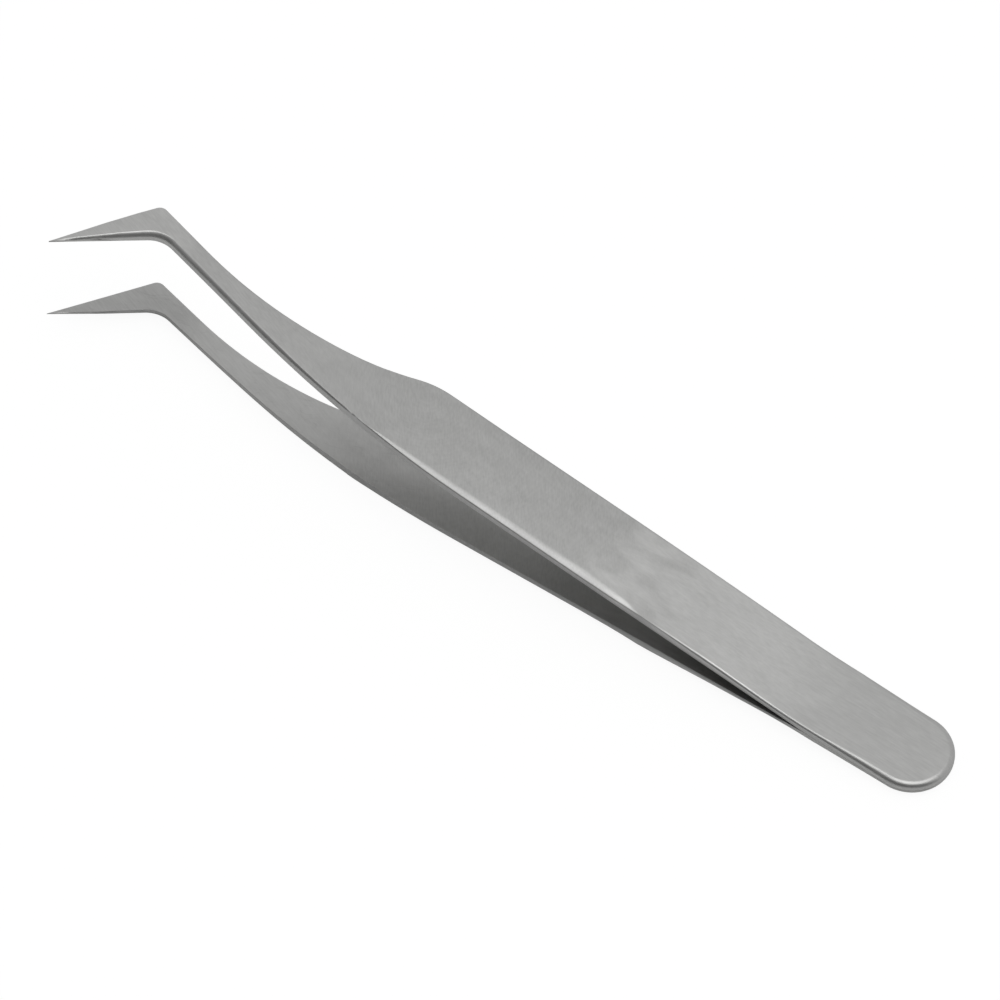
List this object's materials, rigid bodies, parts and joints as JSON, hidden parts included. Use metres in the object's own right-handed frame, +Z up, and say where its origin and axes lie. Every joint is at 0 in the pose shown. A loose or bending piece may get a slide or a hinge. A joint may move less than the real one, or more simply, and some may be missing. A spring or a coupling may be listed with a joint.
{
  "type": "tweezers",
  "caption": "Steel tweezers with flat spring arms welded together at the tail, narrow ground necks and fine points bent sharply to one side.",
  "frame": {"origin": "centre of the bounding box at table level, with the tweezers lying at rest on the lower arm's bow and the tail's lower edge", "axes": "+Z up, +X towards the welded tail, -X towards the tips, +Y towards the outer side of the bend, so the points turn to -Y"},
  "size_m": [0.1186, 0.0114, 0.0172],
  "materials": {
    "steel": "satin, fine-ground stainless steel"
  },
  "bodies": {
    "root": {"upper_arm": "steel", "lower_arm": "steel"}
  },
  "joints": []
}
